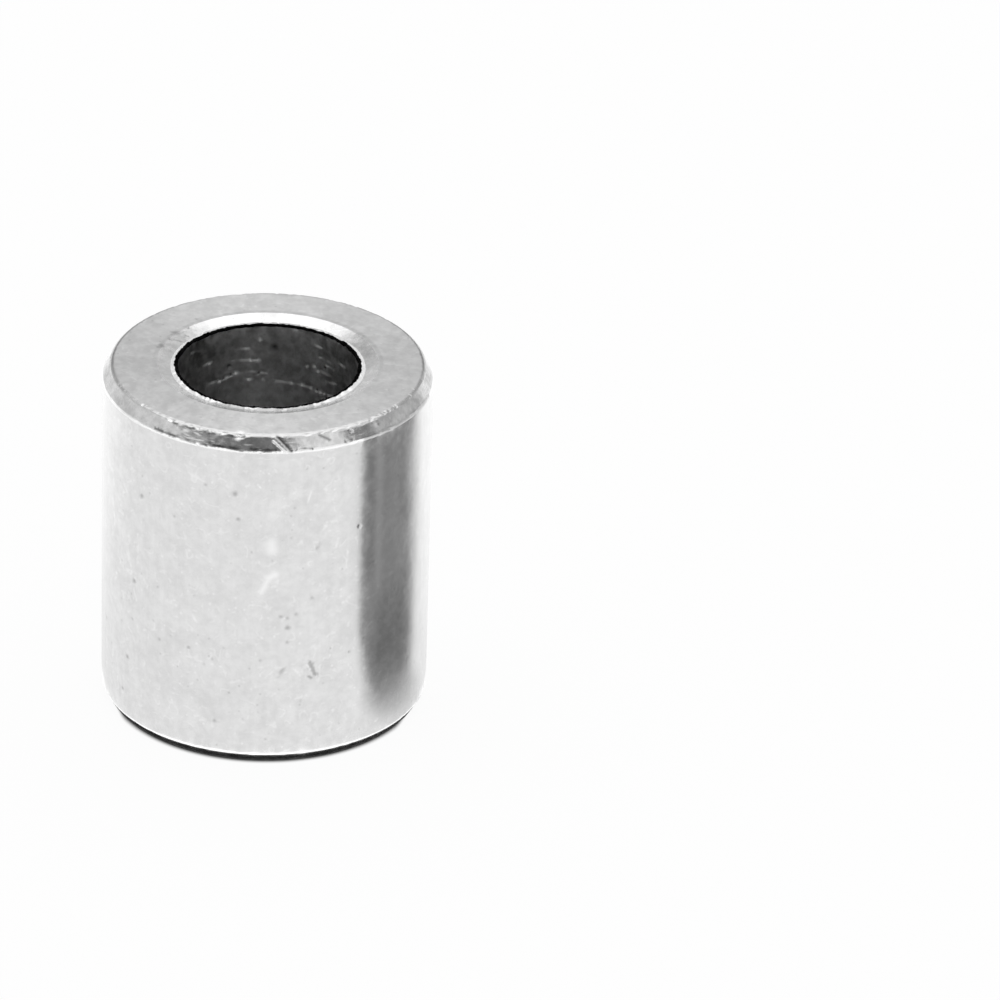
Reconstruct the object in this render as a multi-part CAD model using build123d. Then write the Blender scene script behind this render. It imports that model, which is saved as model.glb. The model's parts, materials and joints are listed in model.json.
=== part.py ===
from build123d import *
import os

# Spacer sleeve: a plain round metal distance piece, turned from bar in one piece. All lengths are
# in millimetres. The sleeve stands on its lower end face at Z = 0 and its axis is the Z axis.
# Both ends are alike, but for the outer chamfer, which is a little smaller at the lower end.

# Driving dimensions
outer_diameter = 18.0
bore_diameter = 10.1
length = 20.0

# The steep chamfer round the outside of each end
upper_chamfer_width = 0.5
upper_chamfer_height = 0.78
lower_chamfer_width = 0.4
lower_chamfer_height = 0.65

# The shallow countersink round the bore at each end
countersink_width = 0.95
countersink_depth = 0.32

# The small radius that tumbling leaves on every turned corner
edge_radius = 0.08


def half_section():
    """The wall on one side of the axis, with sharp corners, as a face in the XZ plane."""
    outer_radius = outer_diameter / 2
    bore_radius = bore_diameter / 2
    face_inner_radius = bore_radius + countersink_width
    corners = [
        (face_inner_radius, 0),
        (outer_radius - lower_chamfer_width, 0),
        (outer_radius, lower_chamfer_height),
        (outer_radius, length - upper_chamfer_height),
        (outer_radius - upper_chamfer_width, length),
        (face_inner_radius, length),
        (bore_radius, length - countersink_depth),
        (bore_radius, countersink_depth),
    ]
    return Plane.XZ * make_face(Polyline(*corners, close=True))


def spacer_sleeve():
    """The whole sleeve: the half section with its corners rounded, turned about the axis."""
    sharp = half_section()
    section = fillet(sharp.vertices(), edge_radius)
    sleeve = revolve(section, axis=Axis.Z, revolution_arc=360)
    sleeve.label = "spacer_sleeve"
    return sleeve


os.makedirs("parts", exist_ok=True)
export_step(spacer_sleeve(), "parts/spacer_sleeve.step")
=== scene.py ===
import functools
import json
import math

import bmesh
import bpy
from mathutils import Matrix, Vector, geometry, kdtree, noise


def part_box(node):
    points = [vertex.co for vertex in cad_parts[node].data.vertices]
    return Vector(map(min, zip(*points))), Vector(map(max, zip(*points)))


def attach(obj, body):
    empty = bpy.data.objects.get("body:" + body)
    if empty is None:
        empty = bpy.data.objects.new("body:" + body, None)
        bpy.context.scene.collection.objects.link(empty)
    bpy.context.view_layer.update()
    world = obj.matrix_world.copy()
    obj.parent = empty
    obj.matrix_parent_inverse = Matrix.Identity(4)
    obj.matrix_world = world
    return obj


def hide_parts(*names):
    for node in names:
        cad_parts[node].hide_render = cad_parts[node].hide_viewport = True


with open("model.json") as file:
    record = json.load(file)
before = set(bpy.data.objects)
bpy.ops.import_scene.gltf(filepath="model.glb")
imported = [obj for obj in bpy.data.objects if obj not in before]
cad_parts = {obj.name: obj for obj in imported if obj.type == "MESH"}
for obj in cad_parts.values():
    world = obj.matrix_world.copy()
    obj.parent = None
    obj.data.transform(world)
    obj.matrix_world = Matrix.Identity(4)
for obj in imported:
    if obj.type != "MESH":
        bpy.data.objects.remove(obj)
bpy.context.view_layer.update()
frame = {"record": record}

# ---------------------------------------------------------------------------------------------
# Sizes, in metres. The sleeve stands on Z = 0 and its axis is the Z axis.
# ---------------------------------------------------------------------------------------------
MM = 0.001
SLEEVE = "spacer_sleeve"
sleeve_low, sleeve_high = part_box(SLEEVE)
mounts = {mount["name"]: mount for mount in frame["record"]["mounts"]}
LENGTH = sleeve_high.z - sleeve_low.z
OUTER = mounts["outside"]["dims"]["r_mm"] * MM
BORE = mounts["bore"]["dims"]["r_mm"] * MM
WALL_MIDDLE = mounts["outside"]["pos_m"][2]
WALL_HALF = mounts["outside"]["dims"]["length_mm"] * MM / 2
CHAMFER_HEIGHT = LENGTH - WALL_MIDDLE - WALL_HALF
CHAMFER_WIDTH = 0.5 * MM
FOOT_CHAMFER_HEIGHT = WALL_MIDDLE - WALL_HALF
FOOT_CHAMFER_WIDTH = 0.4 * MM
SINK_DEPTH = (LENGTH - mounts["bore"]["dims"]["length_mm"] * MM) / 2
SINK_WIDTH = 0.95 * MM
FACE_OUTER = OUTER - CHAMFER_WIDTH
FOOT_OUTER = OUTER - FOOT_CHAMFER_WIDTH
FACE_INNER = BORE + SINK_WIDTH
MIDDLE_RADIUS = (OUTER + BORE) / 2

# The corners of the half section at each end, from the wall inwards: radius, height, how sharply
# the section turns there, and the radius that the tumbler and handling have worn it to
CHAMFER_SLOPE = math.atan2(CHAMFER_HEIGHT, CHAMFER_WIDTH)
FOOT_SLOPE = math.atan2(FOOT_CHAMFER_HEIGHT, FOOT_CHAMFER_WIDTH)
SINK_SLOPE = math.atan2(SINK_DEPTH, SINK_WIDTH)
TOP_CORNERS = (
    (OUTER, LENGTH - CHAMFER_HEIGHT, math.pi / 2 - CHAMFER_SLOPE, 0.34 * MM),
    (FACE_OUTER, LENGTH, CHAMFER_SLOPE, 0.32 * MM),
    (FACE_INNER, LENGTH, SINK_SLOPE, 0.08 * MM),
)
FOOT_CORNERS = (
    (OUTER, FOOT_CHAMFER_HEIGHT, math.pi / 2 - FOOT_SLOPE, 0.24 * MM),
    (FOOT_OUTER, 0, FOOT_SLOPE, 0.14 * MM),
    (FACE_INNER, 0, SINK_SLOPE, 0.08 * MM),
)
# The corners beside the wall are burnished bright, those beside the end faces are duller
WALL_CORNERS = (TOP_CORNERS[0], FOOT_CORNERS[0])
RIM_CORNERS = (TOP_CORNERS[1], FOOT_CORNERS[1])
RIM_GREY = 0.62

# The lip that the countersink has rolled up round the mouth of the bore: how far each of its
# points lies outside the bore, and how deep below the end
LIP = (
    (0.24 * MM, SINK_DEPTH - 0.24 * MM * math.tan(SINK_SLOPE)),
    (0.10 * MM, SINK_DEPTH - 0.115 * MM),
    (0.05 * MM, SINK_DEPTH - 0.12 * MM),
    (-0.12 * MM, SINK_DEPTH - 0.115 * MM),
    (-0.18 * MM, SINK_DEPTH - 0.075 * MM),
    (-0.16 * MM, SINK_DEPTH - 0.01 * MM),
    (-0.06 * MM, SINK_DEPTH + 0.02 * MM),
    (0, SINK_DEPTH + 0.05 * MM),
)

# How finely the sleeve is divided, how wide the bands that hold its shading are, and how near
# two places are taken to be one
STEPS_ROUND = 400
CORNER_SEGMENTS = 4
HOLD = 0.03 * MM
NEAR_NOTHING = 0.001 * MM

# The zones of the surface, which are also the sleeve's material slots, and the rows in each
WALL, CHAMFER, FACE, SINK, BORE_WALL, ROLLED_LIP = range(6)
ROWS = {WALL: 24, CHAMFER: 4, FACE: 4, SINK: 4, BORE_WALL: 18}


# ---------------------------------------------------------------------------------------------
# The sleeve's mesh
# ---------------------------------------------------------------------------------------------
def radius_of(point):
    return math.hypot(point.x, point.y)


def depth_of(point):
    """How far a point lies below the nearer end."""
    return min(abs(point.z), abs(LENGTH - point.z))


def sharp_sleeve():
    """The half section with sharp corners, turned once round the axis."""
    top = [corner[:2] for corner in TOP_CORNERS]
    top += [(BORE + out, LENGTH - depth) for out, depth in LIP]
    foot = [corner[:2] for corner in FOOT_CORNERS]
    foot += [(BORE + out, depth) for out, depth in LIP]
    corners = foot[::-1] + top
    bm = bmesh.new()
    verts = [bm.verts.new((radius, 0, height)) for radius, height in corners]
    for start, end in zip(verts, verts[1:] + verts[:1]):
        bm.edges.new((start, end))
    bmesh.ops.spin(
        bm,
        geom=bm.verts[:] + bm.edges[:],
        cent=(0, 0, 0),
        axis=(0, 0, 1),
        angle=2 * math.pi,
        steps=STEPS_ROUND,
        use_merge=True,
    )
    bmesh.ops.recalc_face_normals(bm, faces=bm.faces[:])
    for face in bm.faces:
        face.material_index = zone_of(face)
    return bm


def zone_of(face):
    """Which zone a face of the sharp sleeve belongs to."""
    middle = face.calc_center_median()
    outside = radius_of(middle) > MIDDLE_RADIUS
    if radius_of(middle) < BORE + LIP[0][0] and depth_of(middle) < LIP[-1][1]:
        return ROLLED_LIP
    tilt = abs(face.normal.z)
    if tilt > 0.99:
        return FACE
    if tilt < 0.01:
        return WALL if outside else BORE_WALL
    return CHAMFER if outside else SINK


def round_corner(bm, radius, height, turn, worn):
    """Rounds the corner circle of this radius and height; gives the new faces."""

    def on_circle(edge):
        a = edge.verts[0].co
        off_radius = abs(radius_of(a) - radius)
        off_height = abs(a.z - height)
        return max(off_radius, off_height) < NEAR_NOTHING and not runs_along_section(edge)

    made = bmesh.ops.bevel(
        bm,
        geom=[edge for edge in bm.edges if on_circle(edge)],
        offset=worn * math.tan(turn / 2),
        offset_type="OFFSET",
        segments=CORNER_SEGMENTS,
        profile=0.5,
        affect="EDGES",
        material=-1,
    )
    return made["faces"]


def runs_along_section(edge):
    """True for an edge that lies in one half plane through the axis."""
    a, b = (vert.co for vert in edge.verts)
    return abs(a.x * b.y - a.y * b.x) < NEAR_NOTHING * OUTER


def divide_zone(bm, faces, rows):
    """Holds the zone's shading with a narrow band at each border, then cuts it into rows."""
    bmesh.ops.inset_region(
        bm, faces=faces, thickness=HOLD, use_even_offset=True, use_boundary=True
    )
    edges = {edge for face in faces for edge in face.edges if runs_along_section(edge)}
    bmesh.ops.subdivide_edges(bm, edges=list(edges), cuts=rows - 1, use_grid_fill=True)


def turned_sleeve():
    """The sleeve as it leaves the lathe and the tumbler, with no marks yet."""
    bm = sharp_sleeve()
    rounded = set()
    for corner in TOP_CORNERS + FOOT_CORNERS:
        rounded.update(round_corner(bm, *corner))
    plain = [face for face in bm.faces if face not in rounded]
    by_zone = {zone: [f for f in plain if f.material_index == zone] for zone in ROWS}
    for zone, rows in ROWS.items():
        divide_zone(bm, by_zone[zone], rows)
    return bm


# ---------------------------------------------------------------------------------------------
# Places on the sleeve. Angles are in degrees, 0 at the front (-Y) and growing towards +X.
# ---------------------------------------------------------------------------------------------
def at(radius, angle, height):
    """A point from a radius and a height in millimetres."""
    a = math.radians(angle)
    return Vector((math.sin(a) * radius, -math.cos(a) * radius, height)) * MM


def on_wall(angle, height):
    return at(OUTER / MM, angle, height)


def on_bore(angle, height):
    return at(BORE / MM, angle, height)


def on_chamfer(angle, down):
    """A point on the upper chamfer, from 0 at the end face to 1 at the wall."""
    radius = (FACE_OUTER + CHAMFER_WIDTH * down) / MM
    return at(radius, angle, (LENGTH - CHAMFER_HEIGHT * down) / MM)


def on_face(angle, radius):
    return at(radius, angle, LENGTH / MM)


# ---------------------------------------------------------------------------------------------
# Marks
# ---------------------------------------------------------------------------------------------
# Small dark pits in the wall: angle, height, half width
WALL_PITS = (
    (-46, 14.9, 0.15), (-19, 16.9, 0.11), (-8.6, 16.6, 0.17), (-7.4, 15.1, 0.13),
    (-31, 14.5, 0.11), (-50, 9.4, 0.15), (-38, 9.8, 0.10), (-25, 6.7, 0.12),
    (-54, 4.4, 0.14), (-57, 2.2, 0.13), (0.7, 6.5, 0.10), (-15, 2.5, 0.12),
    (-5, 2.8, 0.09), (3, 1.6, 0.10), (-19, 5.9, 0.09), (-16, 6.3, 0.10),
    (-37, 6.6, 0.11), (-51, 7.0, 0.10), (-40, 7.6, 0.09), (-12, 7.1, 0.09),
    (-23, 10.0, 0.09), (-72, 5.4, 0.11), (12, 15.8, 0.10), (11, 14.0, 0.09),
    (16, 18.1, 0.09), (36, 14.0, 0.11), (18.5, 10.2, 0.11), (10, 8.5, 0.15),
    (10, 7.6, 0.12), (7.7, 9.2, 0.12), (10, 9.1, 0.11), (13, 9.3, 0.11),
    (33, 6.4, 0.10), (23, 4.8, 0.09), (15, 3.9, 0.09),
)
# Small bright dents in the wall: angle, height, half width
WALL_DENTS = (
    (-28, 15.4, 0.10), (-36, 11.8, 0.10), (-25, 12.7, 0.09), (23, 14.5, 0.14),
    (27, 3.0, 0.11), (45, 1.4, 0.12), (-48, 12.4, 0.09), (-17, 9.7, 0.09),
    (-30, 9.1, 0.12), (-28, 8.7, 0.10), (30, 9.6, 0.10), (-62, 9.0, 0.12),
)
# Short bright scratches in the wall: from and to as angle and height
WALL_SCRATCHES = (
    ((16.2, 16.0), (17.6, 16.7)), ((21.6, 14.1), (23.4, 14.7)), ((-50.5, 9.0), (-48.6, 8.3)),
    ((-53.5, 11.2), (-52.0, 10.2)), ((26.5, 12.8), (27.8, 13.6)), ((12.2, 6.0), (14.4, 5.6)),
    ((-24.0, 8.9), (-21.8, 8.4)), ((31.0, 11.4), (31.4, 12.8)), ((-9.5, 5.0), (-6.5, 5.2)),
    ((2.5, 5.4), (5.6, 5.9)), ((-13.0, 11.3), (-11.2, 11.0)), ((-65.0, 13.2), (-63.5, 11.8)),
)
# Scratches that chips have cut round the bore: angles and heights along them
BORE_SCRATCHES = (
    ((-159, 18.43), (-166, 18.36)),
    ((-154, 17.70), (-160, 17.69), (-166, 17.64), (-174, 17.56)),
    ((-136, 16.67), (-146, 16.63), (-151, 16.76), (-157, 16.95)),
    ((-157, 16.95), (-163, 16.97), (-170, 16.91), (-177, 16.76)),
    ((-183, 16.34), (-193, 16.30), (-200, 16.29)),
    ((-200, 16.29), (-206, 16.22), (-212, 16.10), (-221, 16.10)),
    ((-212, 18.23), (-221, 18.14)),
    ((-209, 18.90), (-215, 18.84)),
    ((-211, 17.42), (-221, 17.36)),
    ((-228, 18.36), (-234, 18.32)),
    ((-217, 16.87), (-228, 17.06)),
    ((-134, 17.92), (-140, 17.93)),
    ((-214, 17.91), (-223, 17.82)),
    ((-163, 16.47), (-169, 16.47)),
    ((-121, 19.08), (-131, 18.93)),
)
# Beads of metal pushed up along them: angle, height
BORE_BEADS = (
    (-167, 17.65), (-172, 17.61), (-146, 16.61), (-151, 16.75), (-157, 16.95),
    (-166, 16.45), (-175, 16.45), (-203, 17.49), (-208, 17.59), (-138, 17.92),
    (-193, 16.31), (-200, 16.30), (-206, 16.23), (-211, 17.35), (-173, 18.86),
    (-210, 16.14), (-213, 16.1), (-216, 16.09), (-219, 16.1), (-222, 16.1),
)
# Dark pits among them: angle, height, half width
BORE_PITS = (
    (-182, 18.35, 0.3),
    (-153, 17.40, 0.17),
    (-154, 16.82, 0.15),
    (-149, 16.68, 0.09),
    (-216, 17.66, 0.12),
    (-210, 16.14, 0.12),
    (-217, 15.89, 0.14),
    (-172, 16.76, 0.1),
)
# Smudges in and round the upper countersink: angle, radius, half width, how dark
SMUDGES = (
    (-111, 5.15, 0.15, 0.9),
    (-122, 6.1, 0.3, 0.4),
    (-117, 5.6, 0.2, 0.6),
    (-124, 5.55, 0.18, 0.6),
    (-114, 6.0, 0.16, 0.5),
    (-106, 6.15, 0.24, 0.45),
    (-104, 5.5, 0.2, 0.35),
    (-131, 5.95, 0.1, 0.7),
    (-140, 6.45, 0.1, 0.5),
    (-50, 5.61, 0.12, 0.4),
    (-59, 5.51, 0.1, 0.4),
)


# How far a mark reaches and how fine its mesh is, in its widths, and how long its breaks are
MARK_REACH = 1.6
MARK_FINENESS = 0.45
BREAK_SIZE = 0.35 * MM


class Mark:
    """A pit, dent or scratch along a few points, and what it does to the metal."""

    def __init__(self, points, width, depth, dirt_and_shade=0.0, shine=0.0, ragged=0.35, broken=0.0):
        self.points = points
        self.width = width * MM
        self.depth = depth * MM
        self.dirt_and_shade = dirt_and_shade
        self.shine = shine
        self.ragged = ragged
        self.broken = broken
        self.reach = self.width * MARK_REACH
        self.fineness = self.width * MARK_FINENESS

    def stations(self):
        """Points close together along the mark."""
        steps = [self.points[0]]
        for start, end in zip(self.points, self.points[1:]):
            count = max(1, math.ceil((end - start).length / self.width))
            steps += [start.lerp(end, (i + 1) / count) for i in range(count)]
        return steps

    def strength(self, point):
        """How strong the mark is at a point, from 0 to 1."""
        if len(self.points) == 1:
            nearest = (point - self.points[0]).length
        else:
            nearest = min(
                (point - nearest_on(start, end, point)).length
                for start, end in zip(self.points, self.points[1:])
            )
        share = nearest / self.width * (1 + self.ragged * noise.noise(point / self.width))
        whole = 1.0
        if self.broken:
            whole = min(max(0.5 + self.broken * noise.noise(point / BREAK_SIZE), 0), 1)
        return whole * math.exp(-2.2 * share * share)


# How far a scuff reaches from its middle line, how fine its mesh is, and, in degrees, how far
# apart its stations are and how far from each end it fades out
SCUFF_REACH = 0.45 * MM
SCUFF_FINENESS = 0.075 * MM
SCUFF_STEP = 1.5
SCUFF_FADE = 2.5


class Scuff:
    """A stretch of the upper chamfer that knocks have left uneven, from one angle to another."""

    def __init__(self, start, end, depth, size):
        self.start = start
        self.end = end
        self.depth = depth * MM
        self.size = size * MM
        self.reach = SCUFF_REACH
        self.fineness = SCUFF_FINENESS

    def stations(self):
        """Points close together along the middle of the scuff."""
        count = math.ceil(abs(self.end - self.start) / SCUFF_STEP)
        step = (self.end - self.start) / count
        return [on_chamfer(self.start + step * i, 0.5) for i in range(count + 1)]

    def unevenness(self, point):
        """How far this scuff lowers a point of the chamfer."""
        angle = math.degrees(math.atan2(point.x, -point.y))
        inside = min(angle - self.start, self.end - angle) / SCUFF_FADE
        down = (LENGTH - point.z) / CHAMFER_HEIGHT
        inside = min(inside, (down + 0.15) * 4, (1.1 - down) * 4)
        if inside <= 0:
            return 0
        along = Vector((math.radians(angle) * OUTER / 3, point.z, 0))
        rough = noise.fractal(along / self.size, 0.8, 2.0, 2)
        return self.depth * min(inside, 1) * (rough + 0.25)


def nearest_on(start, end, point):
    place, share = geometry.intersect_point_line(point, start, end)
    return start if share < 0 else end if share > 1 else place


def wall_marks():
    """What handling has left on the wall at the front."""
    marks = [
        Mark([on_wall(angle, height)], 1.3 * size, 0.02, dirt_and_shade=min(7 * (size - 0.065), 0.5))
        for angle, height, size in WALL_PITS
    ]
    marks += [Mark([on_wall(a, h)], 1.2 * size, 0.01, shine=0.7) for a, h, size in WALL_DENTS]
    for start, end in WALL_SCRATCHES:
        path = [on_wall(*start), on_wall(*end)]
        marks.append(Mark(path, 0.1, 0.01, shine=0.7, ragged=0.6, broken=1.5))
    # Two diagonal nicks and the comma-shaped scar
    marks.append(Mark([on_wall(19.8, 13.2), on_wall(21.4, 13.6)], 0.15, 0.03, 0.4, broken=1.5))
    marks.append(Mark([on_wall(6.9, 5.5), on_wall(8.8, 6.0)], 0.18, 0.03, 0.4, broken=1.2))
    marks.append(Mark([on_wall(18.2, 6.2), on_wall(20.2, 5.4)], 0.18, 0.05, 0.5, ragged=0.9))
    marks.append(Mark([on_wall(17.8, 5.35), on_wall(18.8, 5.25)], 0.12, 0.03, 0.5))
    marks.append(Mark([on_wall(17.2, 6.1), on_wall(18.6, 5.7)], 0.08, 0.01, shine=0.6))
    # Wiped streaks, where the metal is a little brighter
    marks.append(Mark([on_wall(3.7, 17.1), on_wall(4.1, 14.0)], 0.60, 0, shine=0.3, broken=1.0))
    marks.append(Mark([on_wall(4.1, 13.7), on_wall(4.3, 13.3)], 0.50, 0, shine=0.9, ragged=0.2))
    marks.append(Mark([on_wall(5.5, 11.8), on_wall(3.4, 11.6)], 0.32, 0, shine=1.0))
    marks.append(Mark([on_wall(3.4, 11.6), on_wall(0.8, 10.7)], 0.24, 0, shine=0.9))
    return marks


def rim_marks():
    """Knocks on the upper chamfer and its two edges, and painted shade on those edges at the two
    sides.
    """
    gouge = [on_chamfer(5.8, 0.1), on_chamfer(10.4, 0.95)]
    turned_up = [on_chamfer(4.2, 0.35), on_chamfer(9.4, 1.2)]
    along_wall = [on_chamfer(-40 + 4.5 * i, 0.86) for i in range(11)]
    along_face = [on_chamfer(-34 + 4 * i, 0.16) for i in range(8)]
    dull_wall = [on_chamfer(38 + 5 * i, 1.0) for i in range(9)]
    dull_face = [on_chamfer(50 + 5 * i, 0.0) for i in range(7)]
    dull_left = [on_chamfer(-64 - 5 * i, 0.0) for i in range(7)]
    return [
        Mark(along_wall, 0.11, 0, dirt_and_shade=0.95, ragged=0.8, broken=1.3),
        Mark(along_face, 0.10, 0, dirt_and_shade=0.9, ragged=0.8, broken=1.5),
        # Painted shade: the dull marks darken the edge lines at the two sides
        Mark(dull_wall, 0.17, 0, dirt_and_shade=0.5, ragged=0.2),
        Mark(dull_face, 0.13, 0, dirt_and_shade=0.45, ragged=0.2),
        Mark(dull_left, 0.13, 0, dirt_and_shade=0.4, ragged=0.2),
        Mark(gouge, 0.13, 0.02, dirt_and_shade=0.8),
        Mark(turned_up, 0.08, -0.03, shine=1.0),
        Mark([on_chamfer(-7.4, 0.02)], 0.34, 0.16, shine=1.0, ragged=0.1),
        Mark([on_chamfer(21.2, 0.2), on_chamfer(24.6, 0.55)], 0.11, 0.02, dirt_and_shade=0.7),
        Mark([on_chamfer(13.0, 0.8), on_chamfer(17.5, 0.9)], 0.09, 0.02, dirt_and_shade=0.5, broken=2.0),
        Mark([on_chamfer(30.5, 0.85), on_chamfer(34.5, 0.75)], 0.12, 0.02, dirt_and_shade=0.5, broken=1.0),
        Mark([on_chamfer(33.0, 0.3), on_chamfer(36.5, 0.45)], 0.12, 0.02, dirt_and_shade=0.4, broken=2.0),
        Mark([on_chamfer(44.0, 0.42)], 0.18, 0.02, shine=0.8),
        Mark([on_chamfer(50.5, 0.75)], 0.08, 0.01, shine=0.6),
        Mark([on_face(-50, 8.45)], 0.14, 0.02, shine=1.0),
        Mark([on_face(-42, 8.6)], 0.10, 0.02, shine=1.0),
    ]


def bore_marks():
    """Scratches, beads and pits in the upper part of the bore."""
    marks = []
    for places in BORE_SCRATCHES:
        path = [on_bore(*places[0])]
        for (start, low), (end, high) in zip(places, places[1:]):
            count = math.ceil(abs(end - start) / 6)
            shares = [(i + 1) / count for i in range(count)]
            path += [on_bore(start + (end - start) * k, low + (high - low) * k) for k in shares]
        marks.append(Mark(path, 0.12, 0.035, shine=0.7, broken=1.0))
    marks += [Mark([on_bore(a, h)], 0.16, 0.04, shine=0.85) for a, h in BORE_BEADS]
    marks += [Mark([on_bore(a, h)], size, 0.05, dirt_and_shade=1.0) for a, h, size in BORE_PITS]
    return marks


def smudges():
    """Grime that has stayed on the end face and in the countersink."""
    return [
        Mark([on_face(angle, radius)], size, 0.005, dirt_and_shade=dark, ragged=1.0)
        for angle, radius, size, dark in SMUDGES
    ]


def all_marks():
    return wall_marks() + rim_marks() + bore_marks() + smudges()


# Stretches of the upper chamfer that are scuffed: from, to, depth and size of the unevenness
SCUFFS = (
    Scuff(-40, -13, 0.026, 0.24),
    Scuff(-15, 4.5, 0.026, 0.26),
    Scuff(7, 31, 0.011, 0.26),
    Scuff(29, 52, 0.004, 0.30),
)
# How deep knocks have flattened the corner by the wall and the one by the end face, how far from
# the corner they reach, and about how long they are
KNOCKS = (0.025 * MM, 0.06 * MM)
KNOCK_REACH = 0.13 * MM
KNOCK_LENGTH = 0.5 * MM
# How uneven the crest of the lip is, how much higher it stands at its two sides, how long its
# waves are in height and in radius, and how far from the bore's surface and the countersink's
# lower edge they go
LIP_UNEVEN = 0.08 * MM
LIP_SIDES = 0.07 * MM
LIP_RISE_LENGTH = 0.4 * MM
LIP_SHIFT_LENGTH = 0.5 * MM
LIP_REACH = 0.2 * MM
LIP_BELOW = 0.05 * MM


def knocked(place):
    """How far handling has lowered the metal near the two outer corners of an end."""
    lowered = 0
    corners = TOP_CORNERS if place.z > LENGTH / 2 else FOOT_CORNERS
    for depth_here, (radius, height, _, _) in zip(KNOCKS, corners):
        across = math.hypot(radius_of(place) - radius, place.z - height)
        lowered += depth_here * math.exp(-((across / KNOCK_REACH) ** 2))
    return lowered * max(noise.fractal(place / KNOCK_LENGTH, 0.5, 2.0, 3), 0)


def lip_waver(place):
    """How far a point of the lip stands too high, and how far too far out."""
    outward = radius_of(place) - BORE
    if abs(outward) > LIP_REACH or depth_of(place) > SINK_DEPTH + LIP_BELOW:
        return 0, 0
    rise = noise.fractal(place / LIP_RISE_LENGTH, 0.6, 2.0, 3) - 0.15
    shift = noise.noise(place / LIP_SHIFT_LENGTH)
    aside = abs(place.x) / radius_of(place)
    return LIP_UNEVEN * rise + LIP_SIDES * aside**3, LIP_UNEVEN * 0.6 * shift


def search_tree(bm):
    """Finds the mesh's points that lie near a place."""
    bm.verts.ensure_lookup_table()
    tree = kdtree.KDTree(len(bm.verts))
    for index, vert in enumerate(bm.verts):
        tree.insert(vert.co, index)
    tree.balance()
    return tree


# How often the mesh is halved round the marks, and how long its coarse edges are at most
REFINE_PASSES = 4
COARSE_EDGE = 0.8 * MM


def refine(bm, marks):
    """Cuts the mesh finer round the marks, until they have enough points to be shaped."""
    for _ in range(REFINE_PASSES):
        tree = search_tree(bm)
        long_edges = set()
        for mark in marks:
            for station in mark.stations():
                for _, index, _ in tree.find_range(station, mark.reach + COARSE_EDGE):
                    for edge in bm.verts[index].link_edges:
                        place = nearest_on(edge.verts[0].co, edge.verts[1].co, station)
                        if (place - station).length < mark.reach:
                            long_edges.update(
                                side
                                for face in edge.link_faces
                                for side in face.edges
                                if side.calc_length() > mark.fineness
                            )
        if not long_edges:
            break
        bmesh.ops.subdivide_edges(bm, edges=list(long_edges), cuts=1, use_grid_fill=True)


def press_in(bm, marks):
    """Presses the marks into the metal and notes where dirt and painted shade lie and where metal
    shines.
    """
    dirt_and_shade = bm.verts.layers.float.new("dirt_and_shade")
    shine = bm.verts.layers.float.new("shine")
    bm.normal_update()
    tree = search_tree(bm)
    places = [vert.co.copy() for vert in bm.verts]
    normals = [vert.normal.copy() for vert in bm.verts]
    for vert, place, normal in zip(bm.verts, places, normals):
        if radius_of(place) > MIDDLE_RADIUS:
            if depth_of(place) < 2 * CHAMFER_HEIGHT:
                vert.co -= normal * knocked(place)
            if LENGTH - place.z < 2 * CHAMFER_HEIGHT:
                vert.co -= normal * sum(scuff.unevenness(place) for scuff in SCUFFS)
        else:
            rise, shift = lip_waver(place)
            vert.co.z += math.copysign(rise, place.z - LENGTH / 2)
            vert.co.xy += place.xy.normalized() * shift
    for mark in marks:
        near = set()
        for station in mark.stations():
            near.update(index for _, index, _ in tree.find_range(station, mark.reach))
        for index in near:
            strength = mark.strength(places[index])
            vert = bm.verts[index]
            vert.co -= normals[index] * (mark.depth * strength)
            vert[dirt_and_shade] = max(vert[dirt_and_shade], mark.dirt_and_shade * strength)
            vert[shine] = max(vert[shine], mark.shine * strength)


def marked_sleeve():
    """The sleeve with all that handling and chips have left on it."""
    bm = turned_sleeve()
    marks = all_marks()
    refine(bm, marks + list(SCUFFS))
    press_in(bm, marks)
    return bm


def smoothed(bm):
    """The same mesh with its many-sided faces cut up and every face shaded smooth."""
    bmesh.ops.triangulate(bm, faces=[face for face in bm.faces if len(face.verts) > 4])
    bmesh.ops.recalc_face_normals(bm, faces=bm.faces[:])
    for face in bm.faces:
        face.smooth = True
    return bm


def add_object(name, bm):
    """Puts a finished mesh into the scene as an object at the origin."""
    mesh = bpy.data.meshes.new(name)
    bm.to_mesh(mesh)
    bm.free()
    made = bpy.data.objects.new(name, mesh)
    bpy.context.scene.collection.objects.link(made)
    return made


# ---------------------------------------------------------------------------------------------
# Shader helpers
# ---------------------------------------------------------------------------------------------
def put(tree, kind, wired=None, **settings):
    """A new node with its settings, and with numbers or other nodes' outputs on its inputs."""
    made = tree.nodes.new(kind)
    for name, value in settings.items():
        setattr(made, name, value)
    for name, value in (wired or {}).items():
        if isinstance(value, bpy.types.NodeSocket):
            tree.links.new(value, made.inputs[name])
        else:
            made.inputs[name].default_value = value
    return made


def maths(tree, operation, a, b=0.0):
    return put(tree, "ShaderNodeMath", {0: a, 1: b}, operation=operation).outputs[0]


def plus(tree, a, b):
    return maths(tree, "ADD", a, b)


def minus(tree, a, b):
    return maths(tree, "SUBTRACT", a, b)


def times(tree, a, b):
    return maths(tree, "MULTIPLY", a, b)


def over(tree, a, b):
    return maths(tree, "DIVIDE", a, b)


def distance(tree, a, b):
    return maths(tree, "ABSOLUTE", minus(tree, a, b))


def scaled(tree, vector, share):
    wired = {0: vector, "Scale": share}
    return put(tree, "ShaderNodeVectorMath", wired, operation="SCALE").outputs["Vector"]


def length_along(tree, vector, way):
    """How far a vector goes in the direction of a unit vector."""
    wired = {0: vector, 1: way}
    return put(tree, "ShaderNodeVectorMath", wired, operation="DOT_PRODUCT").outputs["Value"]


def clouds(tree, vector, scale, detail):
    """Soft noise round 0.5."""
    wired = {"Vector": vector, "Scale": scale, "Detail": detail}
    return put(tree, "ShaderNodeTexNoise", wired).outputs["Fac"]


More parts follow.
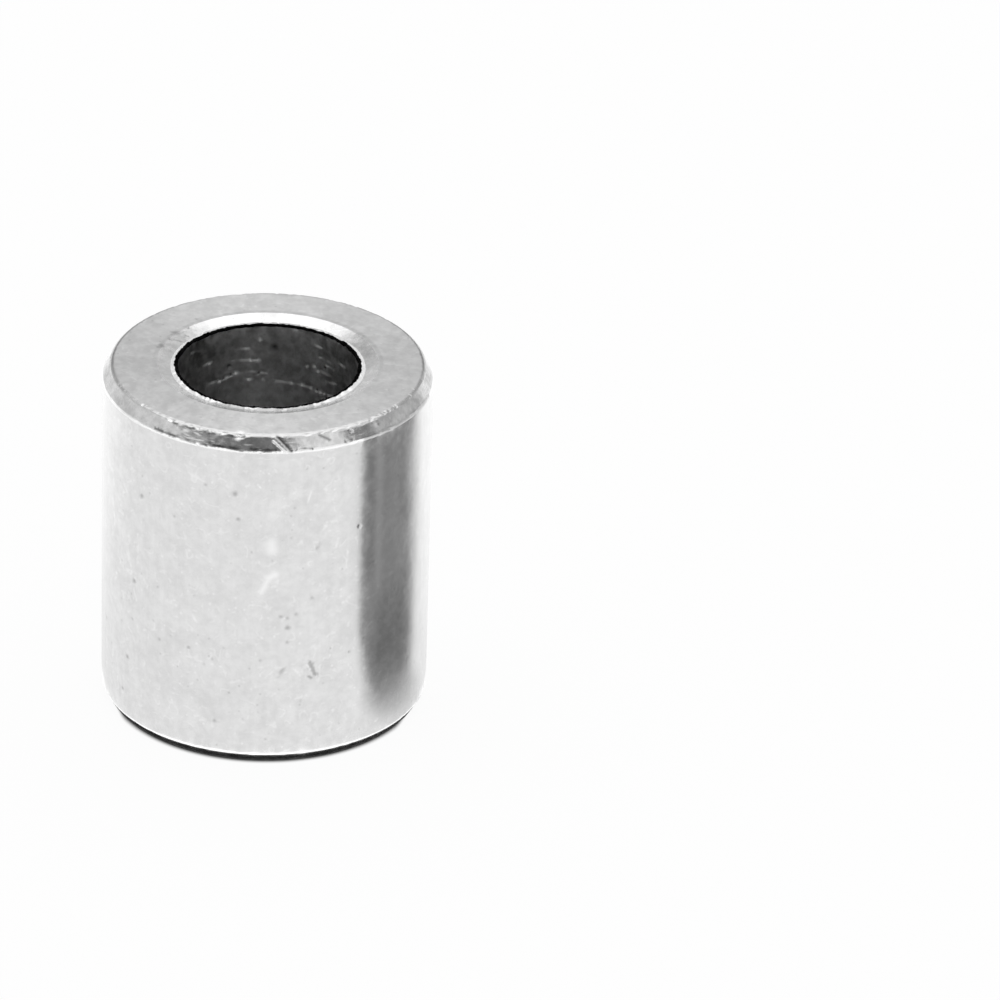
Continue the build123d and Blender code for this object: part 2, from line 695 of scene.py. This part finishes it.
def ramp(tree, value, low, high, to_low=0.0, to_high=1.0):
    """Turns low..high into to_low..to_high smoothly, and holds the ends."""
    wired = {
        "Value": value, "From Min": low, "From Max": high, "To Min": to_low, "To Max": to_high
    }
    made = put(tree, "ShaderNodeMapRange", wired, interpolation_type="SMOOTHSTEP")
    return made.outputs["Result"]


def blend(tree, share, a, b):
    return put(tree, "ShaderNodeMix", {"Factor": share, "A": a, "B": b}).outputs["Result"]


def direction(azimuth, elevation):
    """A unit vector. Azimuth 0 points to the front, at -Y, and grows towards +X; in degrees."""
    a, e = math.radians(azimuth), math.radians(elevation)
    return Vector((math.sin(a) * math.cos(e), -math.cos(a) * math.cos(e), math.sin(e)))


def new_group(name, inputs, output):
    """A shader node group with number inputs and one number output."""
    tree = bpy.data.node_groups.new(name, "ShaderNodeTree")
    for label, value in inputs.items():
        socket = tree.interface.new_socket(label, in_out="INPUT", socket_type="NodeSocketFloat")
        socket.default_value = value
    tree.interface.new_socket(output, in_out="OUTPUT", socket_type="NodeSocketFloat")
    entry = put(tree, "NodeGroupInput").outputs
    leave = put(tree, "NodeGroupOutput").inputs
    return tree, entry, leave


def placed(tree, group, **values):
    """What a shared group puts out, with these values on its inputs."""
    made = put(tree, "ShaderNodeGroup", node_tree=group)
    for name, value in values.items():
        made.inputs[name].default_value = value
    return made.outputs[0]


def new_material(name):
    made = bpy.data.materials.new(name)
    made.use_nodes = True
    return made, made.node_tree


def grey_colour(tree, tone):
    wired = {"Red": tone, "Green": tone, "Blue": tone}
    return put(tree, "ShaderNodeCombineColor", wired).outputs["Color"]


def partly_glowing(tree, share, strength, other):
    """Makes a material glow with this strength for its share, with another shader for the rest."""
    tree.nodes.remove(tree.nodes["Principled BSDF"])
    glow = put(tree, "ShaderNodeEmission", {"Color": (1, 1, 1, 1), "Strength": strength})
    wired = {"Fac": share, 1: other.outputs["BSDF"], 2: glow.outputs["Emission"]}
    mixed = put(tree, "ShaderNodeMixShader", wired)
    tree.links.new(mixed.outputs["Shader"], tree.nodes["Material Output"].inputs["Surface"])


def place_in_mm(tree):
    """The surface point in millimetres: itself, the same at height 0, its radius, its X, Y, Z."""
    point = scaled(tree, put(tree, "ShaderNodeTexCoord").outputs["Object"], 1 / MM)
    place = put(tree, "ShaderNodeSeparateXYZ", {"Vector": point}).outputs
    flat = put(tree, "ShaderNodeCombineXYZ", {"X": place["X"], "Y": place["Y"]}).outputs[0]
    radius = put(tree, "ShaderNodeVectorMath", {0: flat}, operation="LENGTH").outputs["Value"]
    return point, flat, radius, place


# ---------------------------------------------------------------------------------------------
# Effects that the materials share: each group is built once
# ---------------------------------------------------------------------------------------------
@functools.cache
def mottle_group():
    """Soft cloudy patches, about Size millimetres across; 0 to 1."""
    tree, entry, leave = new_group("mottle", {"Size": 1.0, "Offset": 0.0}, "Value")
    point, _, _, _ = place_in_mm(tree)
    often = over(tree, 1.0, entry["Size"])
    wired = {"Vector": point, "W": entry["Offset"], "Scale": often, "Detail": 3.0,
             "Roughness": 0.55}
    cloud = put(tree, "ShaderNodeTexNoise", wired, noise_dimensions="4D")
    tree.links.new(ramp(tree, cloud.outputs["Fac"], 0.3, 0.7), leave["Value"])
    return tree


@functools.cache
def streak_group():
    """Faint streaks along the axis, left by drawing the bar; 0 to 1."""
    tree, entry, leave = new_group("draw_streaks", {"Width": 0.5, "Length": 8.0}, "Value")
    _, flat, _, place = place_in_mm(tree)
    across = scaled(tree, flat, over(tree, 1.0, entry["Width"]))
    long_way = over(tree, place["Z"], entry["Length"])
    along = put(tree, "ShaderNodeCombineXYZ", {"Z": long_way}).outputs[0]
    both = put(tree, "ShaderNodeVectorMath", {0: across, 1: along}).outputs[0]
    tree.links.new(ramp(tree, clouds(tree, both, 1.0, 2.0), 0.3, 0.7), leave["Value"])
    return tree


@functools.cache
def turning_group():
    """Fine rings round the axis, left by the tool; 0 to 1."""
    tree, entry, leave = new_group("turning_marks", {"Pitch": 0.1, "Waver": 0.1}, "Height")
    _, flat, radius, place = place_in_mm(tree)
    section = put(tree, "ShaderNodeCombineXYZ", {"X": radius, "Y": place["Z"]}).outputs[0]
    rings = scaled(tree, section, over(tree, 1.0, entry["Pitch"]))
    round_about = scaled(tree, flat, entry["Waver"])
    apart = put(tree, "ShaderNodeSeparateXYZ", {"Vector": round_about}).outputs
    lifted = put(tree, "ShaderNodeCombineXYZ", {"Z": apart["X"]}).outputs[0]
    both = put(tree, "ShaderNodeVectorMath", {0: rings, 1: lifted})
    wired = {"Vector": both.outputs[0], "W": apart["Y"], "Scale": 1.0, "Detail": 2.0}
    lines = put(tree, "ShaderNodeTexNoise", wired, noise_dimensions="4D")
    tree.links.new(lines.outputs["Fac"], leave["Height"])
    return tree


@functools.cache
def speck_group():
    """Small round specks: one in some of the cells of Spacing millimetres; 0 to 1."""
    inputs = {"Spacing": 0.5, "Size": 0.1, "Share": 0.3}
    tree, entry, leave = new_group("specks", inputs, "Mask")
    point, _, _, _ = place_in_mm(tree)
    often = over(tree, 1.0, entry["Spacing"])
    cells = put(tree, "ShaderNodeTexVoronoi", {"Vector": point, "Scale": often})
    apart = times(tree, cells.outputs["Distance"], entry["Spacing"])
    dot = ramp(tree, apart, entry["Size"], 0.0)
    chance = put(tree, "ShaderNodeSeparateColor", {"Color": cells.outputs["Color"]}).outputs[0]
    chosen = maths(tree, "LESS_THAN", chance, entry["Share"])
    tree.links.new(times(tree, dot, chosen), leave["Mask"])
    return tree


@functools.cache
def corner_group(name, corners):
    """Where handling has worn these corners of the section; 0 to 1."""
    tree, entry, leave = new_group(name, {"Reach": 0.12, "Breakup": 0.5}, "Mask")
    point, _, radius, place = place_in_mm(tree)
    section = put(tree, "ShaderNodeCombineXYZ", {"X": radius, "Y": place["Z"]}).outputs[0]
    nearest = None
    for corner_radius, corner_height, _, _ in corners:
        corner = (corner_radius / MM, corner_height / MM, 0)
        apart = put(tree, "ShaderNodeVectorMath", {0: section, 1: corner}, operation="DISTANCE")
        gap = apart.outputs["Value"]
        nearest = gap if nearest is None else maths(tree, "MINIMUM", nearest, gap)
    uneven = minus(tree, clouds(tree, point, 1.6, 3.0), 0.5)
    spread = times(tree, times(tree, uneven, entry["Breakup"]), 2.0)
    reach = times(tree, entry["Reach"], plus(tree, spread, 1.0))
    share = over(tree, nearest, reach)
    tree.links.new(ramp(tree, share, 0.4, 1.0, 1.0, 0.0), leave["Mask"])
    return tree


@functools.cache
def curl_group():
    """Short curved scratches, fine and sparse, about Size millimetres apart; 0 to 1."""
    tree, entry, leave = new_group("curls", {"Size": 1.0, "Width": 0.02, "Share": 0.5}, "Mask")
    point, _, _, _ = place_in_mm(tree)
    often = over(tree, 1.0, entry["Size"])
    apart = distance(tree, clouds(tree, point, often, 1.0), 0.5)
    line = ramp(tree, apart, entry["Width"], 0.0)
    rare = clouds(tree, point, times(tree, often, 1.7), 1.0)
    limit = plus(tree, entry["Share"], 0.06)
    kept = ramp(tree, rare, entry["Share"], limit)
    tree.links.new(times(tree, line, kept), leave["Mask"])
    return tree


@functools.cache
def ring_line_group():
    """A soft line round the axis at Radius millimetres; 0 to 1."""
    tree, entry, leave = new_group("ring_line", {"Radius": 5.0, "Width": 0.1}, "Mask")
    point, _, radius, _ = place_in_mm(tree)
    uneven = times(tree, minus(tree, clouds(tree, point, 2.5, 2.0), 0.5), 0.15)
    apart = distance(tree, radius, entry["Radius"])
    share = over(tree, plus(tree, apart, uneven), entry["Width"])
    tree.links.new(ramp(tree, share, 0.2, 1.0, 1.0, 0.0), leave["Mask"])
    return tree


# ---------------------------------------------------------------------------------------------
# Materials
# ---------------------------------------------------------------------------------------------
# Painted shade and light in the bore: how much darker its two sides are than its front and back, how
# far aside that begins and ends, and where the painted lighter grey of its depth begins and ends,
# from the middle; in millimetres
BORE_SIDES = 0.6
BORE_ASIDE = (2.2, 4.6)
BORE_DEEP = (5.0, 9.4)
# Where the painted shade lines of the far side fade in, from front to back, in millimetres
FAR_SIDE = (-3.0, 1.0)
# How much specks darken the metal, how much painted glints and curls brighten it, and the grey of
# dirt and painted shade
SPECK_DARKER = 0.14
GLINT_BRIGHTER = 0.10
CURL_BRIGHTER = 0.06
DIRT_AND_SHADE_GREY = 0.12


def metal(name, grey, roughness, anisotropic, pitch, cloud=0.05, streak=0.0, waver=0.15,
          groove=0.001, worn=0.92, worn_rough=None, deep=None, far_lines=(), waves=0.5, chalky=0.0):
    """Bare turned steel: cloudy, faintly ringed, burnished at its corners, dark in its pits.

    Lengths are in millimetres. Groove is how deep the tool's rings are and waver how quickly they
    come and go; worn is the grey of burnished corners and fresh scars; deep is the lighter grey
    painted halfway along the bore as painted light, and with it the bore gets painted shade at its
    two sides; far_lines holds the radius, width and darkness of soft lines of painted shade round
    the far side; chalky is how matt and white fresh scars are.
    """
    made, tree = new_material(name)
    shader = tree.nodes["Principled BSDF"]
    shader.inputs["Metallic"].default_value = 1.0
    shader.inputs["Anisotropic"].default_value = anisotropic
    shader.inputs["Anisotropic Rotation"].default_value = 0.25

    broad = placed(tree, mottle_group(), Size=1.6)
    small = placed(tree, mottle_group(), Size=0.45, Offset=3.0)
    lines = placed(tree, streak_group(), Width=0.35, Length=7.0)
    rings = placed(tree, turning_group(), Pitch=pitch, Waver=waver)
    specks = placed(tree, speck_group(), Spacing=0.55, Size=0.11, Share=0.3)
    # Painted glints: small bright specks painted into the colour
    glints = placed(tree, speck_group(), Spacing=0.43, Size=0.1, Share=0.3)
    curls = placed(tree, curl_group(), Size=0.9, Width=0.045, Share=0.55)
    wall_edges = corner_group("edge_wear", WALL_CORNERS)
    edges = placed(tree, wall_edges, Reach=0.13, Breakup=0.9)
    end_rims = corner_group("rim_wear", RIM_CORNERS)
    rims = placed(tree, end_rims, Reach=0.17, Breakup=0.7)
    dirt_and_shade = put(tree, "ShaderNodeAttribute", attribute_name="dirt_and_shade").outputs["Fac"]
    shine = put(tree, "ShaderNodeAttribute", attribute_name="shine").outputs["Fac"]

    place = place_in_mm(tree)[-1]
    tone = grey
    # Painted light and shade: the bore is lighter towards its middle and darker at its two sides
    if deep:
        from_middle = distance(tree, place["Z"], LENGTH / MM / 2)
        tone = ramp(tree, from_middle, *BORE_DEEP, deep, grey)
        middle = ramp(tree, maths(tree, "ABSOLUTE", place["X"]), *BORE_ASIDE, 1.0, BORE_SIDES)
        tone = times(tree, tone, middle)
    for value, amount in ((broad, cloud * 0.75), (small, cloud), (lines, streak)):
        if amount:
            centred = minus(tree, value, 0.5)
            tone = plus(tree, times(tree, centred, amount), tone)
    tone = minus(tree, tone, times(tree, specks, SPECK_DARKER))
    tone = plus(tree, tone, times(tree, glints, GLINT_BRIGHTER))
    tone = plus(tree, tone, times(tree, curls, CURL_BRIGHTER))
    tone = blend(tree, rims, tone, RIM_GREY)
    tone = blend(tree, maths(tree, "MAXIMUM", edges, shine), tone, worn)
    # Painted shade: soft dark lines round the far side
    for line_radius, width, darker in far_lines:
        line = placed(tree, ring_line_group(), Radius=line_radius / MM, Width=width)
        line = times(tree, line, ramp(tree, place["Y"], *FAR_SIDE))
        tone = minus(tree, tone, times(tree, line, darker))
    # Dirt, and the painted shade of the dull marks, turn the metal grey
    tone = blend(tree, dirt_and_shade, tone, DIRT_AND_SHADE_GREY)
    tree.links.new(grey_colour(tree, tone), shader.inputs["Base Color"])

    uneven = times(tree, minus(tree, small, 0.5), 0.08)
    rough = plus(tree, uneven, roughness)
    if worn_rough:
        rough = blend(tree, shine, rough, worn_rough)
    if chalky:
        still_metal = minus(tree, 1.0, times(tree, shine, chalky))
        tree.links.new(still_metal, shader.inputs["Metallic"])
    tree.links.new(rough, shader.inputs["Roughness"])

    grooves = put(tree, "ShaderNodeBump",
                  {"Height": rings, "Strength": 1.0, "Distance": groove * MM})
    waves = put(tree, "ShaderNodeBump",
                {"Height": small, "Strength": waves, "Distance": 0.004 * MM,
                 "Normal": grooves.outputs["Normal"]})
    tree.links.new(waves.outputs["Normal"], shader.inputs["Normal"])
    return made


def lip_metal(name):
    """The rolled lip: its outer flank is bright bare metal, painted evenly bright at its two sides
    as a painted highlight, and its inner side is painted near black, a painted shade.
    """
    made, tree = new_material(name)
    shader = tree.nodes["Principled BSDF"]
    shader.inputs["Specular IOR Level"].default_value = 0.0
    _, _, radius, place = place_in_mm(tree)
    small = placed(tree, mottle_group(), Size=0.3, Offset=5.0)
    uneven = times(tree, minus(tree, small, 0.5), 0.06)
    outward = minus(tree, plus(tree, radius, uneven), BORE / MM)
    # Painted shade: the lip's inner side is near black, starting a little further out at the front
    # than at the back
    painted_lip_shade = plus(tree, times(tree, small, 0.006), 0.001)
    start = ramp(tree, place["Y"], 2.0, 4.5, 0.03, -0.01)
    outer_flank = ramp(tree, minus(tree, outward, start), 0.0, 0.03)
    # Painted highlight: the outer flank is evenly bright at the two sides
    broad = placed(tree, mottle_group(), Size=0.9, Offset=9.0)
    patchy = ramp(tree, broad, 0.42, 0.58, 0.6, 1.0)
    bright = ramp(tree, maths(tree, "ABSOLUTE", place["X"]), 2.8, 4.4, patchy, 0.97)
    tone = blend(tree, outer_flank, painted_lip_shade, bright)
    tree.links.new(times(tree, outer_flank, 0.5), shader.inputs["Metallic"])
    tree.links.new(blend(tree, outer_flank, 0.9, 0.25), shader.inputs["Roughness"])
    tree.links.new(grey_colour(tree, tone), shader.inputs["Base Color"])
    return made


# ---------------------------------------------------------------------------------------------
# The studio
# ---------------------------------------------------------------------------------------------
# The room is brighter near the horizon, up to where that fades out, as the sine of an elevation
ROOM_LEVEL = 0.9
HORIZON_LEVEL = 1.1
HORIZON_TOP = (0.08, 0.2)
# Patches of the room: azimuth, elevation, half width of the core, half width with its fade, level
ROOM_PATCHES = (
    (180, 32, 20, 38, 0.66),
    (150, 27, 12, 22, 0.66),
    (-150, 27, 12, 22, 0.66),
    (104, 14, 22, 34, 0.52),
    (-100, 16, 22, 45, 0.72),
    (180, 72, 26, 40, 1.5),
    (154, 33, 14, 19, 0.66),
    (-157, 35, 8, 13, 0.5),
    (-42, 32, 10, 24, 0.42),
    (-8, 36, 18, 32, 0.19),
    (72, 28, 8, 13, 0.22),
)


def studio_world():
    """A pale room with a light overhead and a dark patch where the camera stands."""
    world = bpy.data.worlds.new("studio")
    bpy.context.scene.world = world
    world.use_nodes = True
    tree = world.node_tree
    background = tree.nodes["Background"]
    toward = put(tree, "ShaderNodeTexCoord").outputs["Generated"]
    rise = put(tree, "ShaderNodeSeparateXYZ", {"Vector": toward}).outputs["Z"]
    level = blend(tree, ramp(tree, rise, *HORIZON_TOP), HORIZON_LEVEL, ROOM_LEVEL)
    for azimuth, elevation, core, fade, patch in ROOM_PATCHES:
        facing = length_along(tree, toward, direction(azimuth, elevation))
        outer, inner = math.cos(math.radians(fade)), math.cos(math.radians(core))
        level = blend(tree, ramp(tree, facing, outer, inner), level, patch)
    path = put(tree, "ShaderNodeLightPath")
    shown = blend(tree, path.outputs["Is Camera Ray"], level, 1.0)
    tree.links.new(shown, background.inputs["Strength"])
    background.inputs["Color"].default_value = (1, 1, 1, 1)


# The floor: its width in metres, the grey of its paper, the share of light that lifts it
FLOOR_SIZE = 3.0
PAPER_GREY = 0.95
FLOOR_LIFT = 0.94
# The shadow painted on the floor under the foot: how dark it is just inside and just outside the
# foot's edge
FOOT_SHADOW_GREYS = (0.3, 0.06)
FOOT_EDGE = 0.14
# Where the painted shadow under the foot ends, from the foot's edge for the eye and from the wall in
# reflections, and how far it is drawn in where it runs out at the two sides; in millimetres
FOOT_SHADOW_END = (-0.1, 0.35)
WALL_SHADOW_END = (-0.1, 0.15)
FOOT_ASIDE = (7.4, 8.5)
FOOT_DRAWN_IN = 0.45
# Painted light that only polished metal sees in the floor: brighter behind the sleeve, then two
# levels far from it, from front to back, and a bright ring close round the foot that is drawn in at
# the two sides
BACK_REACH = (0.0, 30.0)
FLOOR_BACK_LEVEL = 1.2
FAR_REACH = (60.0, 140.0)
FAR_DEPTH = (-20.0, 40.0)
FLOOR_FAR_LEVELS = (1.25, 0.8)
FLOOR_RING = (9.9, 10.3, 1.4)
RING_ASIDE = (4.5, 8.0)
RING_DRAWN_IN = 0.6


def floor():
    """A white sheet. It is lifted towards pure white everywhere but under the sleeve's foot, where a
    shadow is painted.
    """
    bm = bmesh.new()
    bmesh.ops.create_grid(bm, x_segments=1, y_segments=1, size=FLOOR_SIZE / 2)
    sheet = add_object("floor", bm)
    sheet.data.materials.append(white_paper())


def white_paper():
    """Matt white that turns dark under the foot, a painted shadow, and glows where it is lifted;
    what reflections see of its glow is painted light.
    """
    paper, tree = new_material("white_sheet")
    _, _, radius, place = place_in_mm(tree)
    aside = maths(tree, "ABSOLUTE", place["X"])
    path = put(tree, "ShaderNodeLightPath").outputs
    foot, wall = FOOT_OUTER / MM, OUTER / MM
    # Painted shadow: under the foot the sheet is darkened and is not lifted
    reach = plus(tree, radius, ramp(tree, aside, *FOOT_ASIDE, 0.0, FOOT_DRAWN_IN))
    past_foot = ramp(tree, reach, *(foot + past for past in FOOT_SHADOW_END))
    past_wall = ramp(tree, radius, *(wall + past for past in WALL_SHADOW_END))
    outside = blend(tree, path["Is Glossy Ray"], past_foot, past_wall)
    under = ramp(tree, radius, foot, foot + FOOT_EDGE, *FOOT_SHADOW_GREYS)
    shade = blend(tree, outside, under, PAPER_GREY)
    matt = put(tree, "ShaderNodeBsdfDiffuse", {"Color": grey_colour(tree, shade)})
    # Painted light in reflections: how strongly the sheet glows for polished metal, place by place
    painted_glow = ramp(tree, place["Y"], *BACK_REACH, 1.0, FLOOR_BACK_LEVEL)
    far_level = ramp(tree, place["Y"], *FAR_DEPTH, *FLOOR_FAR_LEVELS)
    painted_glow = blend(tree, ramp(tree, radius, *FAR_REACH), painted_glow, far_level)
    ring_from, ring_to, ring_level = FLOOR_RING
    drawn_in = plus(tree, radius, ramp(tree, aside, *RING_ASIDE, 0.0, RING_DRAWN_IN))
    close_by = ramp(tree, drawn_in, ring_from, ring_to, ring_level, 1.0)
    painted_glow = times(tree, painted_glow, close_by)
    strength = blend(tree, path["Is Glossy Ray"], 1.0, painted_glow)
    seen = maths(tree, "MAXIMUM", path["Is Camera Ray"], path["Is Glossy Ray"])
    lift = times(tree, times(tree, seen, outside), FLOOR_LIFT)
    partly_glowing(tree, lift, strength, matt)
    return paper


# The glowing card that paints a dark reflection stands on the floor to the right of the sleeve, and
# its foot flares towards it
CARD_START = Vector((10.9, -9.3, 0)) * MM
CARD_ALONG = Vector((2.0, 9.0, 0)).normalized()
CARD_TOWARDS = Vector((-CARD_ALONG.y, CARD_ALONG.x, 0))
CARD_WIDTH = 13.5 * MM
CARD_HEIGHT = 17 * MM
CARD_FLARE = 4.0 * MM
CARD_CLEAR = 0.03 * MM
# Its glowing greys, from its lower part to its upper part, and the heights between which they
# change, in millimetres above the fold at its foot
CARD_GREYS = (0.18, 0.27)
CARD_CHANGE = (4.0, 8.0)
CARD_CLOUDS = 0.12
# The upright stripes in its upper part: place from its near end, half width, how much paler
CARD_STRIPES = ((2.7, 0.7, 0.10), (1.7, 0.7, -0.07))
STRIPE_FADE = (5.0, 8.0)


def painted_reflection_card():
    """A glowing dark card that only reflections see: a painted reflection on the metal."""
    bm = bmesh.new()
    feet = [bm.verts.new(CARD_START), bm.verts.new(CARD_START + CARD_ALONG * CARD_WIDTH)]
    foot = bm.edges.new(feet)
    for way in (Vector((0, 0, CARD_HEIGHT)), CARD_TOWARDS * CARD_FLARE + Vector((0, 0, CARD_CLEAR))):
        made = bmesh.ops.extrude_edge_only(bm, edges=[foot])["geom"]
        moved = [part for part in made if isinstance(part, bmesh.types.BMVert)]
        bmesh.ops.translate(bm, verts=moved, vec=way)
    card = add_object("painted_reflection_card", bm)
    card.data.materials.append(painted_reflection_board())
    card.visible_camera = False
    card.visible_diffuse = False
    card.visible_shadow = False


def painted_reflection_board():
    """Glowing grey of the painted reflection: paler above, with upright stripes, and fading out at
    its foot and both ends.
    """
    board, tree = new_material("painted_reflection_board")
    point, _, _, place = place_in_mm(tree)
    start = put(tree, "ShaderNodeVectorMath", {0: point, 1: CARD_START / MM},
                operation="SUBTRACT").outputs[0]
    across = length_along(tree, start, CARD_ALONG)
    out = length_along(tree, start, CARD_TOWARDS)
    rise = minus(tree, place["Z"], out)
    uneven = minus(tree, clouds(tree, point, 0.4, 2.0), 0.5)
    bent = plus(tree, across, uneven)

    level = ramp(tree, rise, *CARD_CHANGE, *CARD_GREYS)
    level = plus(tree, level, times(tree, uneven, CARD_CLOUDS))
    in_upper_part = ramp(tree, rise, *STRIPE_FADE)
    for stripe_place, half_width, paler in CARD_STRIPES:
        apart = distance(tree, bent, stripe_place)
        stripe = ramp(tree, apart, 0.0, half_width, paler, 0.0)
        level = plus(tree, level, times(tree, stripe, in_upper_part))
    # A paler patch of the painted reflection, low down at the card's near end
    paler_near_foot = times(tree, ramp(tree, bent, 0.8, 3.4, 0.12, 0.0),
                      ramp(tree, rise, 6.0, 9.0, 1.0, 0.0))
    level = plus(tree, level, paler_near_foot)

    near_soft = ramp(tree, rise, -1.0, 5.0, 3.6, 0.6)
    drawn_in = minus(tree, across, ramp(tree, rise, -4.5, 0.0, 1.2, 0.0))
    near_end = ramp(tree, over(tree, drawn_in, near_soft), 0.0, 1.0)
    narrowed = ramp(tree, rise, -2.5, 2.0, 1.0, 0.0)
    far_place = plus(tree, plus(tree, across, narrowed),
                      times(tree, uneven, 4.0))
    far_end = ramp(tree, far_place, 6.6, 12.5, 1.0, 0.0)
    foot_end = ramp(tree, plus(tree, rise, uneven), -4.8, 2.4)
    solid = times(tree, times(tree, near_end, far_end), foot_end)
    partly_glowing(tree, solid, level, put(tree, "ShaderNodeBsdfTransparent"))
    return board


# The camera: how it looks at the middle of the sleeve's foot, with lengths in outer radii
CAMERA_ELEVATION = math.radians(28.16)
CAMERA_ROLL = math.radians(-1.776)
CAMERA_DISTANCE = 43.874
FOOT_RIGHT = -1.4585
FOOT_UP = -1.1287
SENSOR = 36.0
LENS_SHARE = 7.106


def camera():
    """Looks along +Y and down, with a long lens, and sets the sleeve left of the middle."""
    e, roll = CAMERA_ELEVATION, CAMERA_ROLL
    level_right = Vector((1, 0, 0))
    level_up = Vector((0, math.sin(e), math.cos(e)))
    back = Vector((0, -math.cos(e), math.sin(e)))
    right = level_right * math.cos(roll) - level_up * math.sin(roll)
    up = level_right * math.sin(roll) + level_up * math.cos(roll)
    place = (back * CAMERA_DISTANCE - right * FOOT_RIGHT - up * FOOT_UP) * OUTER
    data = bpy.data.cameras.new("camera")
    data.sensor_width = SENSOR
    data.lens = SENSOR * LENS_SHARE
    data.clip_start = 0.01
    data.clip_end = 10.0
    made = bpy.data.objects.new("camera", data)
    made.matrix_world = Matrix.Translation(place) @ Matrix((right, up, back)).transposed().to_4x4()
    bpy.context.scene.collection.objects.link(made)
    bpy.context.scene.camera = made


# ---------------------------------------------------------------------------------------------
# Making everything
# ---------------------------------------------------------------------------------------------
bpy.context.scene.view_settings.view_transform = "Standard"
camera()
studio_world()
floor()
painted_reflection_card()

sleeve = add_object("turned_sleeve", smoothed(marked_sleeve()))
for finish in (
    metal("wall_finish", 0.757, 0.23, 0.4, pitch=0.08, cloud=0.07, streak=0.018, waves=0.3),
    metal("chamfer_finish", 0.74, 0.18, 0.2, pitch=0.13, cloud=0.2, waver=0.5, groove=0.014,
          worn=0.97, chalky=0.5),
    # The face's far_lines are painted shade along its far side
    metal("face_finish", 0.668, 0.36, 0.5, pitch=0.05, cloud=0.09,
          far_lines=((FACE_OUTER - 0.03 * MM, 0.16, 0.34), (FACE_INNER + 0.15 * MM, 0.2, 0.08))),
    metal("countersink_finish", 0.735, 0.24, 0.4, pitch=0.06, cloud=0.12),
    # The bore's deep grey is painted light, and its two sides get painted shade
    metal("bore_finish", 0.52, 0.38, 0.5, pitch=0.12, cloud=0.22, worn=0.85, worn_rough=0.7,
          deep=0.80),
    lip_metal("lip_finish"),
):
    sleeve.data.materials.append(finish)
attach(sleeve, "root")
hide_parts(SLEEVE)
